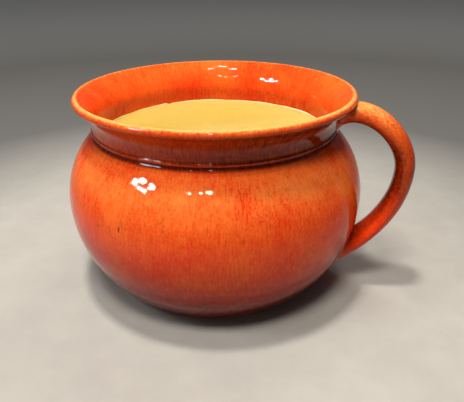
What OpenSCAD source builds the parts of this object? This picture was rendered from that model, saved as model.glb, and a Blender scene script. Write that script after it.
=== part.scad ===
// Chamber pot: a squat thrown earthenware pot with a flared rim and one pulled
// strap handle, glazed orange outside and yellow inside.
// The pot stands on the XY plane round the Z axis and its handle lies along +X.
// Sizes are those of the bare clay, and the glazes cover it by their thickness.

/* [Body] */
// Diameter of the belly at its widest
belly_d = 214; // [190:1:240]
// Height at which the belly is widest
belly_z = 68.5; // [56:0.5:82]
// Diameter at which the belly meets the bevel of the foot
foot_d = 152; // [126:1:176]
// Height of the bevel round the foot
foot_h = 2.5; // [1.5:0.1:5]
// Width of the bevel round the foot
foot_bevel = 3.5; // [1.5:0.1:6]
// Thickness of the belly's wall
wall = 4.8; // [3.4:0.1:7]
// Thickness of the floor
floor_t = 7; // [4.5:0.5:12]
// Radius inside, where the floor turns up into the wall
floor_fillet = 20; // [10:1:28]

/* [Neck and rim] */
// Diameter of the neck at the foot of its flare
neck_d = 172; // [152:1:190]
// Height at which the shoulder meets the neck
shoulder_z = 115.2; // [104:0.2:122]
// Thickness of the neck's wall
neck_wall = 3.6; // [2.6:0.1:5]
// Width of the groove between the shoulder and the bead
groove_w = 3.4; // [0.8:0.1:4.5]
// How deep that groove is hollowed
groove_d = 0.9; // [0:0.1:1.5]
// Radius of the bead round the foot of the neck
bead_r = 0.7; // [0.5:0.1:2]
// Height of the whole pot, to the top of the lip
height = 142.5; // [134:0.5:160]
// How far the lip's edge stands out beyond the neck
rim_flare = 11.4; // [6:0.2:20]
// How far the rolled lip stands out from the wall on each face
lip_roll = 0.3; // [0.1:0.05:1]

/* [Handle] */
// How far the handle's outer face stands out beyond the belly
handle_reach = 34.2; // [26:0.2:46]
// Height of the handle's outermost point
handle_mid_z = 92.7; // [84:0.1:102]
// Drop from the top of the lip to the middle of the handle's upper end
handle_drop = 16.5; // [14:0.5:20]
// Height of the middle of the handle's lower end
handle_low_z = 22; // [19:0.5:32]
// Angle at which the handle leaves the neck
handle_rise = 40; // [15:1:48]
// Angle at which the handle comes down into the belly
handle_fall = 30; // [15:1:40]
// Thickness of the handle at its upper end
handle_top_t = 13.6; // [10:0.2:15]
// Width of the handle at its upper end
handle_top_w = 15.8; // [12:0.2:24]
// Thickness of the handle at its lower end
handle_low_t = 11.2; // [8:0.2:14]
// Width of the handle at its lower end
handle_low_w = 28.8; // [18:0.2:36]

/* [Luting] */
// Thickness of the slip smoothed over the pot round each end of the handle
luting_t = 2; // [1.4:0.1:3]
// How far that slip spreads beyond the handle's width
luting_w = 3.5; // [2.5:0.1:6]

/* [Glaze] */
// Thickness of the glazes
glaze_t = 0.6; // [0.4:0.05:1]
// Height of the orange glaze's lower edge above the bevel of the foot
glaze_gap = 0.8; // [0.4:0.1:4]
// How far the yellow lining climbs above the throat
lining_up = 0.8; // [0.3:0.1:3]

/* [Hidden] */
$fn = 120;
orange = "#d8561f";
yellow = "#f4cf62";
clay = "#b9825a";

belly_r = belly_d / 2;
foot_r = foot_d / 2;
neck_r = neck_d / 2;

// Radius of the arc that starts upright and moves dx sideways over a height dz
function arc_r(dx, dz) = (dx * dx + dz * dz) / (2 * dx);
// Point at radius r and angle a from centre c
function polar(c, r, a) = c + r * [cos(a), sin(a)];
// Points on an arc from angle a to angle b in n steps, without the first few if asked
function arc(c, r, a, b, n, first = 0) = [for (i = [first : n]) polar(c, r, a + (b - a) * i / n)];
// The leg beside leg a in a right triangle with hypotenuse h
function leg(h, a) = sqrt(h * h - a * a);
// Angle of point p seen from point c
function bearing(c, p) = atan2(p[1] - c[1], p[0] - c[0]);
function reverse(v) = [for (i = [len(v) - 1 : -1 : 0]) v[i]];

// The belly is one arc below its widest height and another above it
low_r = arc_r(belly_r - foot_r, belly_z - foot_h);
low_c = [belly_r - low_r, belly_z];
up_r = arc_r(belly_r - neck_r, shoulder_z - belly_z);
up_c = [belly_r - up_r, belly_z];
foot_base = [[0, 0], [foot_r - foot_bevel, 0], [foot_r, foot_h]];

// The bead sits above the groove, and the neck flares out above the bead
bead_c = [neck_r, shoulder_z + groove_w + bead_r];
neck_z = bead_c[1] + 2 * bead_r;
neck_in = neck_r - neck_wall;
neck_mid = neck_r - neck_wall / 2;
lip_r = neck_wall / 2 + lip_roll;
lip_c = [neck_r + rim_flare - lip_r, height - lip_r];
flare_r = arc_r(lip_c[0] - neck_mid, lip_c[1] - neck_z);
flare_c = [neck_mid + flare_r, neck_z];

// The orange glaze starts just above the foot and meets the yellow lining above the throat
glaze_z = foot_h + glaze_gap;
glaze_a = asin((glaze_z - belly_z) / low_r);
throat_a = acos((neck_in - up_c[0]) / (up_r - wall));
lining_z = up_c[1] + (up_r - wall) * sin(throat_a) + lining_up;

// Centre of the curve inside, where the floor turns up
fillet_z = floor_t + floor_fillet;
fillet_c = [low_c[0] + leg(low_r - wall - floor_fillet, belly_z - fillet_z), fillet_z];
fillet_a = bearing(low_c, fillet_c);

// Angle on the lip's circle, grown by g, where it meets the wall's face at radius r
function lip_meet(g, r) =
    let (c = ((lip_r + g) ^ 2 + flare_r ^ 2 - r ^ 2) / (2 * (lip_r + g) * flare_r))
    bearing(lip_c, flare_c) - acos(c);
// Angle of that point seen from the centre of the flare
function flare_end(g, r) = bearing(flare_c, polar(lip_c, lip_r + g, lip_meet(g, r)));

// Outside of the belly from the glaze's lower edge to the groove, grown by g
function belly_path(g) =
    let (groove_a = acos((neck_r + g - up_c[0]) / (up_r + g)))
    concat(arc(low_c, low_r + g, glaze_a, 0, 14), arc(up_c, up_r + g, 0, groove_a, 10, 1));
// Bead round the foot of the neck, grown by g
function bead_path(g) =
    let (a = acos(g / (bead_r + g)))
    arc(bead_c, bead_r + g, -a, a, 6);
// Hollow of the groove between the shoulder and the bead, grown by g
function groove_path(g) =
    let (a = belly_path(g)[24], b = bead_path(g)[0])
    [for (i = [1 : 5]) [neck_r + g - groove_d * sin(30 * i), a[1] + (b[1] - a[1]) * i / 6]];
// Outside of the neck's flare to the top of the lip, grown by g
function rim_out(g) =
    let (r = flare_r - neck_wall / 2 - g)
    concat(arc(flare_c, r, 180, flare_end(g, r), 7), arc(lip_c, lip_r + g, lip_meet(g, r), 90, 9, 1));
// Whole outside from the glaze's lower edge to the top of the lip, grown by g
function outer_path(g) = concat(belly_path(g), groove_path(g), bead_path(g), rim_out(g));
// Top of the lip and down inside the flare to the lining, grown by g
function rim_in(g) =
    let (r = flare_r + neck_wall / 2 + g)
    let (lip = arc(lip_c, lip_r + g, 90, lip_meet(g, r) + 360, 5, 1))
    concat(lip, arc(flare_c, r, flare_end(g, r), 180, 7, 1), [[neck_in - g, lining_z]]);
// Inside of the pot from the lining's upper edge down to the middle of the floor, grown by g
function lining_path(g) =
    let (top_a = acos((neck_in - g - up_c[0]) / (up_r - wall - g)))
    concat(
        [[neck_in - g, lining_z]],
        arc(up_c, up_r - wall - g, top_a, 0, 10),
        arc(low_c, low_r - wall - g, 0, fillet_a, 9, 1),
        arc(fillet_c, floor_fillet - g, fillet_a, -90, 6, 1),
        [[0, floor_t + g]]
    );
function coat_path(g) = concat(outer_path(g), rim_in(g));

// The pot's outside as a filled solid, grown by g
module filled_pot(g) {
    rotate_extrude()
        polygon(concat([[0, glaze_z]], outer_path(g), [[0, height + g]]));
}

// Space within g of the pot's outside up to the lip, with the groove and the bead bridged
module smooth_pot(g) {
    rotate_extrude()
        polygon(concat([[0, glaze_z]], belly_path(g), rim_out(g), [[0, height + g]]));
}

// Curve of the handle, as distance from the axis and height: it rises from the neck,
// turns down at its outermost point and comes in to the belly
top_p = [neck_mid, height - handle_drop];
mid_p = [belly_r + handle_reach - (handle_top_t + handle_low_t) / 4, handle_mid_z];
low_p = [low_c[0] + leg(low_r, belly_z - handle_low_z) - wall / 2, handle_low_z];
top_dir = [cos(handle_rise), sin(handle_rise)];
low_dir = [cos(handle_fall), sin(handle_fall)];
// How full the curve is at its upper end, above and below its middle, and at its lower end
top_pull = 0.5 * (mid_p[0] - top_p[0]) * top_dir;
mid_rise = [0, 0.74 * (top_p[1] - mid_p[1])];
mid_drop = [0, 0.565 * (mid_p[1] - low_p[1])];
low_pull = 0.19 * (mid_p[0] - low_p[0]) * low_dir;
upper_curve = [top_p, top_p + top_pull, mid_p + mid_rise, mid_p];
lower_curve = [mid_p, mid_p - mid_drop, low_p + low_pull, low_p];
// Length of straight handle at each end, to be cut to the pot
buried = handle_top_t + wall;
handle_sides = 24;

function bezier(p, t) = (1 - t) ^ 3 * p[0] + 3 * (1 - t) ^ 2 * t * p[1] + 3 * (1 - t) * t ^ 2 * p[2] + t ^ 3 * p[3];
function slope(p, t) = (1 - t) ^ 2 * (p[1] - p[0]) + 2 * (1 - t) * t * (p[2] - p[1]) + t ^ 2 * (p[3] - p[2]);
// Place and direction at station s: 0 at the upper end, 1 at the middle and 2 at the lower end
function place(s) =
    s < 0 ? top_p + s * buried * top_dir :
    s > 2 ? low_p - (s - 2) * buried * low_dir :
    s < 1 ? bezier(upper_curve, s) : bezier(lower_curve, s - 1);
function heading(s) =
    s <= 0 ? top_dir :
    s >= 2 ? -low_dir :
    let (d = s < 1 ? slope(upper_curve, s) : slope(lower_curve, s - 1)) d / norm(d);
function taper(top, low, s) = top + (low - top) * max(0, min(1, s / 2));
// Where the handle's middle line leaves the neck
upper_seat = place(0.08);
// Point at which the handle's inner face (k = -1) or outer face (k = 1) comes onto the belly
function foot_p(k, s = 1) =
    let (d = heading(s))
    let (p = place(s) + k * taper(handle_top_t, handle_low_t, s) / 2 * [-d[1], d[0]])
    s >= 3 || norm(p - low_c) <= low_r ? p : foot_p(k, s + 0.01);
inner_foot = foot_p(-1);
outer_foot = foot_p(1);
// The slip's patch there is centred between the two faces and goes right round the handle
lower_tilt = (bearing(low_c, inner_foot) + bearing(low_c, outer_foot)) / 2;
lower_seat = polar(low_c, low_r, lower_tilt);
lower_pad_r = max(norm(inner_foot - outer_foot), handle_low_w) / 2 + luting_w;
// Oval section at station s, grown by g
function section(s, g) =
    let (p = place(s))
    let (d = heading(s))
    let (t = taper(handle_top_t, handle_low_t, s) / 2 + g)
    let (w = taper(handle_top_w, handle_low_w, s) / 2 + g)
    [for (i = [0 : handle_sides - 1])
        let (a = 360 * i / handle_sides)
        [p[0] - d[1] * t * cos(a), w * sin(a), p[1] + d[0] * t * cos(a)]];

// The handle from station a to station b in n steps, grown by g
module strap(a, b, n, g) {
    m = handle_sides;
    points = [for (i = [0 : n]) each section(a + (b - a) * i / n, g)];
    rows = [for (i = [0 : n - 1], k = [0 : m - 1]) [i * m + k, i * m + (k + 1) % m]];
    faces = concat(
        [[for (k = [m - 1 : -1 : 0]) k]],
        [for (r = rows) [r[0], r[1], r[0] + m]],
        [for (r = rows) [r[1], r[1] + m, r[0] + m]],
        [[for (k = [0 : m - 1]) n * m + k]]
    );
    polyhedron(points, faces);
}

module whole_strap(g) {
    strap(-1, 3, 48, g);
}

// Everything inside the middle of the neck's wall
module neck_core() {
    flare = arc(flare_c, flare_r, 180, bearing(flare_c, lip_c), 7);
    rotate_extrude()
        polygon(concat([[0, belly_z], [neck_mid, belly_z]], flare, [[0, lip_c[1]]]));
}

// Crescent of slip round the handle's upper end, with g of glaze on it: it stays below the lip
// and is open over the middle of the handle, which tucks up under the lip
module upper_pad(g) {
    crest_w = handle_top_w / 2 - 2 * g;
    over_bead = max(luting_t, bead_r + glaze_t);
    difference() {
        intersection() {
            smooth_pot(over_bead + g);
            translate([0, 0, upper_seat[1]])
                rotate([0, 90, 0])
                    cylinder(h = belly_d, r = handle_top_w / 2 + luting_w + g);
            cylinder(h = lip_c[1] - lip_r, r = belly_d);
        }
        neck_core();
        translate([0, -crest_w / 2, upper_seat[1]])
            cube([belly_d, crest_w, height]);
    }
}

// Round patch of slip over the handle's lower end, square to the belly, with g of glaze on it
module lower_pad(g) {
    intersection() {
        smooth_pot(luting_t + g);
        translate([lower_seat[0], 0, lower_seat[1]])
            rotate([0, 90 - lower_tilt, 0])
                cylinder(h = 4 * wall, r = lower_pad_r + g, center = true);
    }
}

module clay_body() {
    color(clay)
        rotate_extrude()
            polygon(concat(foot_base, coat_path(0), lining_path(0)));
}

module handle() {
    color(clay)
        difference() {
            whole_strap(0);
            filled_pot(0);
            smooth_pot(0);
        }
}

module upper_luting() {
    color(clay)
        difference() {
            upper_pad(0);
            filled_pot(0);
            strap(-1, 1, 24, 0);
        }
}

module lower_luting() {
    color(clay)
        difference() {
            lower_pad(0);
            filled_pot(0);
            strap(1, 3, 24, 0);
        }
}

module outer_glaze() {
    color(orange)
        difference() {
            rotate_extrude()
                polygon(concat(coat_path(glaze_t), reverse(coat_path(0))));
            upper_pad(0);
            lower_pad(0);
        }
}

module inner_glaze() {
    color(yellow)
        rotate_extrude()
            polygon(concat(lining_path(0), reverse(lining_path(glaze_t))));
}

module handle_glaze() {
    color(orange)
        difference() {
            union() {
                whole_strap(glaze_t);
                upper_pad(glaze_t);
                lower_pad(glaze_t);
            }
            whole_strap(0);
            upper_pad(0);
            lower_pad(0);
            filled_pot(glaze_t);
        }
}

clay_body();
handle();
upper_luting();
lower_luting();
outer_glaze();
inner_glaze();
handle_glaze();
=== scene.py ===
"""Looks of a thrown earthenware chamber pot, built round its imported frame.

The pot is a red clay body under an orange glaze outside and a yellow glaze inside, with one
pulled handle luted to its neck and belly. Every piece is a surface worked out with numpy in
the frame's own metres, and every finish is procedural.
"""

import logging
from dataclasses import dataclass
from enum import Enum
from typing import Optional

import bpy
import numpy as np
from mathutils import Matrix, Vector


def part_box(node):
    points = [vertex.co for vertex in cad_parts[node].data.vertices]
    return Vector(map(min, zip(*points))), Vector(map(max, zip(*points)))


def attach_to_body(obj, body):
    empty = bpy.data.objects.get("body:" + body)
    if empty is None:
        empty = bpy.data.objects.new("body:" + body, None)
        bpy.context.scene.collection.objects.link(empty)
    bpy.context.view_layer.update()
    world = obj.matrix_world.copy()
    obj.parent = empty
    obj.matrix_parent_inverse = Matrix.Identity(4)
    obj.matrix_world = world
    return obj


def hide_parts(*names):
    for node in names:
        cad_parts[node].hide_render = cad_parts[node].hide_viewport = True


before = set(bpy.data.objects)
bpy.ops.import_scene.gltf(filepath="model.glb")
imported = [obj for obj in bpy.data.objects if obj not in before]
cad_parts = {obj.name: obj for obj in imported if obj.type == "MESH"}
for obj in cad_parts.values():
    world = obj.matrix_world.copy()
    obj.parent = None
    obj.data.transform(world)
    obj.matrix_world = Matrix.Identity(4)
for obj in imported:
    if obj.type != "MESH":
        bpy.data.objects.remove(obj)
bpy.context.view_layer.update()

Array = np.ndarray
Pair = tuple[float, float]
Triple = tuple[float, float, float]
Socket = bpy.types.NodeSocket
Material = bpy.types.Material
Piece = bpy.types.Object

LOG = logging.getLogger("chamber_pot")
BODY = "root"
MM = 0.001
FINE = 0.1 * MM  # step between the points of an outline
POLE = 0.05 * MM  # smallest radius of a spun row
TINY = 1e-9  # length below which a vector has no direction
PHOTO_WIDTH_PX = 464


class Slot(Enum):
    """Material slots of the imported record."""

    BARE_CLAY = "bare_clay"
    ORANGE_GLAZE = "orange_glaze"
    YELLOW_GLAZE = "yellow_glaze"


class Mark(Enum):
    """Point attributes that the glazes read."""

    FLOW = "flow"
    # Warmer colour where a face is lit from above: painted light.
    LIT_WARMTH = "painted_light_warmth"
    # Paler, thinner glaze on edges; on the bead and the handle's top it is partly painted light.
    THIN_AND_LIT = "thin_glaze_and_painted_light"
    # Deeper colour: pooled glaze, and painted shade under the lip, in the groove, low on the belly and on
    # the handle's shaded faces.
    POOL_AND_SHADE = "pooled_glaze_and_painted_shade"


class Shows(Enum):
    """What a studio lamp does: it lights surfaces, or it gleams in the glaze."""

    LIGHT = "light"
    GLEAM = "gleam"


def ramp(low: float, high: float, value: Array) -> Array:
    """Smooth step: 0 below low, 1 above high, and 3t^2 - 2t^3 between them."""
    t = np.clip((value - low) / (high - low), 0.0, 1.0)
    return t * t * (3.0 - 2.0 * t)


def blend(ends: Pair | tuple[Array, Array], share: Array) -> Array:
    """Value that goes from the first end to the second as the share goes from 0 to 1."""
    return ends[0] + (ends[1] - ends[0]) * share


def quarter(t: Array) -> Array:
    """Quarter circle: sqrt(1 - (1 - t)^2), with t held between 0 and 1."""
    return np.sqrt(1.0 - (1.0 - np.clip(t, 0.0, 1.0)) ** 2)


def unit(vectors: Array) -> Array:
    """The same directions with a length of 1."""
    return vectors / np.maximum(np.linalg.norm(vectors, axis=-1, keepdims=True), TINY)


def around_axis(points: Array) -> Array:
    """Angle of points round the pot's axis, in radians from +X."""
    return np.arctan2(points[..., 1], points[..., 0])


def arc(centre: Array, radius: float, start: float, end: float) -> Array:
    """Arc of a circle: centre + radius (cos a, sin a), with a running evenly from start to end.

    Args:
        centre: Distance from the axis and height of the circle's centre.
        radius: The circle's radius.
        start: First angle, in radians.
        end: Last angle, in radians.

    Returns:
        Points as rows of distance from the axis and height.
    """
    count = max(3, int(abs(end - start) * radius / FINE) + 1)
    a = np.linspace(start, end, count)
    return np.stack([centre[0] + radius * np.cos(a), centre[1] + radius * np.sin(a)], axis=-1)


def straight(start: Array | Pair, end: Array | Pair) -> Array:
    """Straight line: start + t (end - start), with t running evenly from 0 to 1.

    Args:
        start: First point.
        end: Last point.

    Returns:
        Points as rows of distance from the axis and height.
    """
    start, end = np.asarray(start, float), np.asarray(end, float)
    count = max(2, int(np.linalg.norm(end - start) / FINE) + 1)
    t = np.linspace(0.0, 1.0, count)[:, None]
    return start + t * (end - start)


def lengths(line: Array) -> Array:
    """Length along a line, or along each column of a grid, from the first row of points to each row."""
    steps = np.linalg.norm(np.diff(line, axis=0), axis=-1)
    return np.concatenate([0.0 * steps[:1], np.cumsum(steps, axis=0)])


def even(line: Array) -> Array:
    """The same line with its points an even fine step apart.

    Args:
        line: Points along the line.

    Returns:
        New points along the line, with the same ends.
    """
    s = lengths(line)
    wanted = np.linspace(0.0, s[-1], max(3, int(s[-1] / FINE) + 1))
    return np.stack([np.interp(wanted, s, column) for column in line.T], axis=-1)


def soften(values: Array, reach: float) -> Array:
    """Running mean with a raised cosine window, which rounds a line's corners.

    Args:
        values: One row for each fine step along a line.
        reach: Half the window's width.

    Returns:
        The softened rows, with both ends kept.
    """
    half = max(1, int(reach / FINE))
    window = 1.0 + np.cos(np.linspace(-np.pi, np.pi, 2 * half + 1))
    window /= window.sum()
    padded = np.pad(values, [(half, half)] + [(0, 0)] * (values.ndim - 1), mode="edge")
    columns = np.atleast_2d(padded.T)
    mean = np.stack([np.convolve(c, window, mode="valid") for c in columns], axis=-1)
    mean = mean.reshape(values.shape)
    mean[0], mean[-1] = values[0], values[-1]
    return mean


def bend(line: Array) -> Array:
    """Turn to the left for each metre along an even line: change of direction over length.

    Args:
        line: Even points along the line.

    Returns:
        The turn at each point, in radians for each metre.
    """
    step = np.gradient(line, axis=0)
    heading = np.unwrap(np.arctan2(step[:, 1], step[:, 0]))
    return np.gradient(heading) / np.linalg.norm(step, axis=1)


def rows_by_bend(line: Array, widest: float, turn: float) -> Array:
    """Places for the rows of a mesh along a line, closer together where the line bends.

    The number of rows up to a point is the integral of 1 / widest + |bend| / turn.

    Args:
        line: Even points along the line.
        widest: Distance between rows on a straight stretch.
        turn: Angle between rows in a tight bend, in radians.

    Returns:
        Positions in the line's list of points, as fractions of its steps.
    """
    density = 1.0 / widest + np.abs(bend(line)) / turn
    s = lengths(line)
    count = np.concatenate([[0.0], np.cumsum(0.5 * (density[1:] + density[:-1]) * np.diff(s))])
    wanted = np.linspace(0.0, count[-1], int(count[-1]) + 2)
    return np.interp(wanted, count, np.arange(len(line)))


def pick(values: Array, places: Array) -> Array:
    """Values at fractional positions of a list, by straight interpolation between neighbours.

    Args:
        values: A list of numbers, or of points as rows.
        places: Positions in the list.

    Returns:
        The number or point at each position.
    """
    index = np.arange(len(values))
    if values.ndim == 1:
        return np.interp(places, index, values)
    return np.stack([np.interp(places, index, column) for column in values.T], axis=-1)


def spin(line: Array, turns: int) -> Array:
    """Surface of revolution: (r cos a, r sin a, z) for each point (r, z) of a line and each angle a.

    Args:
        line: Rows of distance from the axis and height.
        turns: Number of columns round the axis.

    Returns:
        A grid of points: rows along the line, columns round the axis.
    """
    a = 2.0 * np.pi * np.arange(turns) / turns
    r, z = line[:, :1], line[:, 1:]
    return np.stack([r * np.cos(a), r * np.sin(a), z + 0.0 * a], axis=-1)


def flow_along(angle: Array, radius: float, run: Array) -> Array:
    """Coordinates that follow the runs of a glaze: (radius cos a, radius sin a, run)."""
    angle, run = np.broadcast_arrays(angle, run)
    return np.stack([radius * np.cos(angle), radius * np.sin(angle), run], axis=-1)


def add(name: str, data: bpy.types.ID) -> bpy.types.Object:
    """Puts a new object into the scene, at the origin.

    Args:
        name: The object's name.
        data: Its mesh, lamp or camera.

    Returns:
        The new object.
    """
    made = bpy.data.objects.new(name, data)
    bpy.context.scene.collection.objects.link(made)
    return made


def skin(name: str, grid: Array, ring: bool = False, caps: bool = False) -> Piece:
    """Mesh over a grid whose columns close up round the piece.

    Args:
        name: The piece's name.
        grid: Rows along the piece and columns round it, as points.
        ring: Whether the last row joins the first.
        caps: Whether the first and last rows are each closed to their own mean point.

    Returns:
        The new object, at the origin, with smooth faces that point outwards.
    """
    rows, columns = grid.shape[:2]
    index = np.arange(rows * columns).reshape(rows, columns)
    after = np.roll(index, -1, axis=1)
    upper = np.roll(np.arange(rows), -1)[: rows if ring else rows - 1]
    lower = np.arange(len(upper))
    quads = np.stack([index[lower], after[lower], after[upper], index[upper]], axis=-1)
    points, faces = grid.reshape(-1, 3), quads.reshape(-1, 4).tolist()
    if caps:
        hub = len(points)
        points = np.concatenate([points, grid[0].mean(0)[None], grid[-1].mean(0)[None]])
        first = np.stack([after[0], index[0], np.full(columns, hub)], axis=-1)
        last = np.stack([index[-1], after[-1], np.full(columns, hub + 1)], axis=-1)
        faces += first.tolist() + last.tolist()
    mesh = bpy.data.meshes.new(name)
    mesh.from_pydata(points.tolist(), [], faces)
    mesh.validate()
    mesh.shade_smooth()
    return add(name, mesh)


def mark(piece: Piece, name: Mark, values: Array) -> None:
    """Writes a point attribute: numbers or vectors, one for each grid point, with caps given the mean.

    Args:
        piece: The object whose mesh takes the attribute.
        name: Which attribute it is.
        values: One number or vector for each of the grid's points.
    """
    vector = values.ndim == 3
    flat = values.reshape(-1, 3) if vector else values.reshape(-1, 1)
    missing = len(piece.data.vertices) - len(flat)
    flat = np.concatenate([flat, np.repeat(flat.mean(0)[None], missing, axis=0)])
    kind = "FLOAT_VECTOR" if vector else "FLOAT"
    layer = piece.data.attributes.new(name.value, kind, "POINT")
    layer.data.foreach_set("vector" if vector else "value", flat.astype(np.float32).ravel())


def paint(piece: Piece, finish: Material) -> None:
    """Gives a mesh one material all over."""
    piece.data.materials.clear()
    piece.data.materials.append(finish)


def attach(piece: Piece, finish: Material) -> None:
    """Finishes a new piece: its material and its body.

    Args:
        piece: The new piece.
        finish: Its material.
    """
    paint(piece, finish)
    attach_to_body(piece, BODY)
    LOG.info("%s: %d points, %d faces", piece.name, len(piece.data.vertices), len(piece.data.polygons))


@dataclass(frozen=True)
class Noise:
    """Cloudy noise: clouds in a metre, how many finer layers are added and how strong they are."""

    scale: float
    detail: float = 3.0
    rough: float = 0.55


@dataclass(frozen=True)
class Span:
    """Range that a value is carried from, and the range that it is carried to and held in."""

    low: float
    high: float
    to_low: float = 0.0
    to_high: float = 1.0


UNIT = Span(0.0, 1.0)


@dataclass
class Desk:
    """A material under construction: its node tree and the one shader at its end."""

    name: str

    def __post_init__(self) -> None:
        """Makes an empty material that ends in one principled shader."""
        self.material = bpy.data.materials.new(self.name)
        self.material.use_nodes = True
        self.tree = self.material.node_tree
        self.shader = self.tree.nodes["Principled BSDF"]

    def put(self, target: Socket, value: object) -> None:
        """Links a socket to a target, or sets the target to a plain value.

        Args:
            target: The input that is linked or set.
            value: A socket or a plain value.
        """
        if isinstance(value, Socket):
            self.tree.links.new(value, target)
        else:
            target.default_value = value

    def give(self, name: str, value: object) -> None:
        """Links or sets one of the shader's inputs."""
        self.put(self.shader.inputs[name], value)

    def node(self, kind: str, inputs: Optional[dict] = None, **settings: object) -> bpy.types.Node:
        """Adds a node.

        Args:
            kind: The node's type, without the word ShaderNode.
            inputs: Values or sockets for its inputs, by name or by place.
            **settings: Properties of the node itself.

        Returns:
            The new node.
        """
        made = self.tree.nodes.new("ShaderNode" + kind)
        for key, value in settings.items():
            setattr(made, key, value)
        for key, value in (inputs or {}).items():
            self.put(made.inputs[key], value)
        return made

    def place(self) -> Socket:
        """The point's own place in the frame, in metres."""
        return self.node("TexCoord").outputs["Object"]

    def height(self, place: Socket) -> Socket:
        """Height of a place above the foot."""
        return self.node("SeparateXYZ", {0: place}).outputs[2]

    def reading(self, name: Mark, output: str = "Fac") -> Socket:
        """A point attribute, as a number or by the name of another output."""
        return self.node("Attribute", attribute_name=name.value).outputs[output]

    def noise(self, where: Socket, kind: Noise) -> Socket:
        """Cloudy noise at the given coordinates, about 0.5 on average."""
        inputs = {"Vector": where, "Scale": kind.scale, "Detail": kind.detail, "Roughness": kind.rough}
        return self.node("TexNoise", inputs).outputs[0]

    def between(self, value: Socket, span: Span) -> Socket:
        """Carries a value from one range to another and holds it there."""
        inputs = {"Value": value, "From Min": span.low, "From Max": span.high,
                  "To Min": span.to_low, "To Max": span.to_high}
        return self.node("MapRange", inputs).outputs[0]

    def chain(self, kind: str, *values: object) -> Socket:
        """Arithmetic on several values, taken from left to right.

        Args:
            kind: The operation's name.
            *values: Two or more values or sockets.

        Returns:
            A socket with the answer.
        """
        answer = values[0]
        for value in values[1:]:
            answer = self.node("Math", {0: answer, 1: value}, operation=kind).outputs[0]
        return answer

    def vector(self, kind: str, a: Socket, b: Triple) -> Socket:
        """Arithmetic on a vector and a plain vector."""
        return self.node("VectorMath", {0: a, 1: b}, operation=kind).outputs[0]

    def length(self, a: Socket) -> Socket:
        """Length of a vector."""
        return self.node("VectorMath", {0: a}, operation="LENGTH").outputs["Value"]

    def mix(self, share: Socket, a: object, b: object) -> Socket:
        """Mixes two colours.

        Args:
            share: How much of b is taken, from 0 to 1.
            a: First colour or socket.
            b: Second colour or socket.

        Returns:
            A socket with the mixed colour.
        """
        inputs = {0: share}
        for key, colour in ((6, a), (7, b)):
            inputs[key] = colour if isinstance(colour, Socket) else (*colour, 1.0)
        return self.node("Mix", inputs, data_type="RGBA").outputs[2]

    def relief(self, height: Socket, depth: float) -> None:
        """Gives the shader a fine relief, in which a height of 1 stands for the depth in metres."""
        bump = self.node("Bump", {"Height": height, "Distance": depth, "Strength": 1.0})
        self.give("Normal", bump.outputs[0])


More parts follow.
